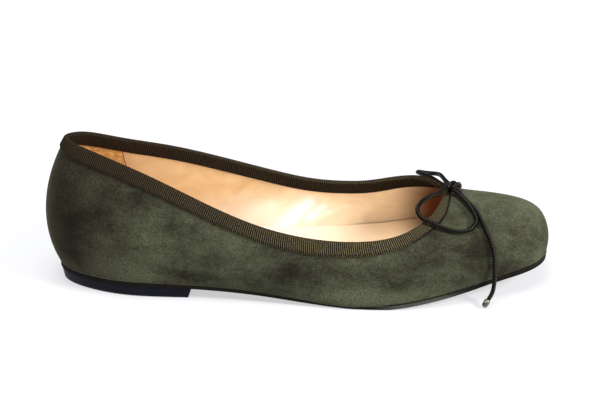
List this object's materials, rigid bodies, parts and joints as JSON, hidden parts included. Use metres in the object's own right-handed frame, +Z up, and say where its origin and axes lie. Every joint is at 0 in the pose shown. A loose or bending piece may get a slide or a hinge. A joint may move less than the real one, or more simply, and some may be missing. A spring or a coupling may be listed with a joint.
{
  "type": "ballet flat",
  "caption": "Women's suede ballet flat for the right foot, with a soft square toe, low heel, ribbon-bound collar and a thin cord bow at the throat.",
  "frame": {"origin": "on the floor, below the middle of the shoe's length and width, measured without the cord of the bow", "axes": "+X to the toe, +Y to the inner (medial) side of the right foot, +Z up"},
  "size_m": [0.2466, 0.0914, 0.0726],
  "materials": {
    "suede": "dark olive green suede with a short mottled nap, browner over the counter",
    "grosgrain": "dark olive brown ribbed ribbon, ribs across the edge",
    "outsole_leather": "thin near-black outsole with a smooth dyed edge",
    "heel_rubber": "blue-black heel, satin side, fine rubber underneath",
    "lining_leather": "natural tan leather, smooth with a soft shine",
    "cord_cotton": "near-black waxed cotton cord, finely braided",
    "cord_tip": "clear greenish plastic dip over the end of the cord"
  },
  "bodies": {
    "root": {"outsole": "outsole_leather", "heel": "heel_rubber", "insole": "lining_leather", "upper": "suede", "topline_ribbon": "grosgrain", "bow_knot": "cord_cotton", "bow_loop_lateral": "cord_cotton", "bow_loop_medial": "cord_cotton", "bow_end_lateral": "cord_cotton", "bow_end_medial": "cord_cotton", "bow_tip_lateral": "cord_tip", "bow_tip_medial": "cord_tip"}
  },
  "joints": []
}
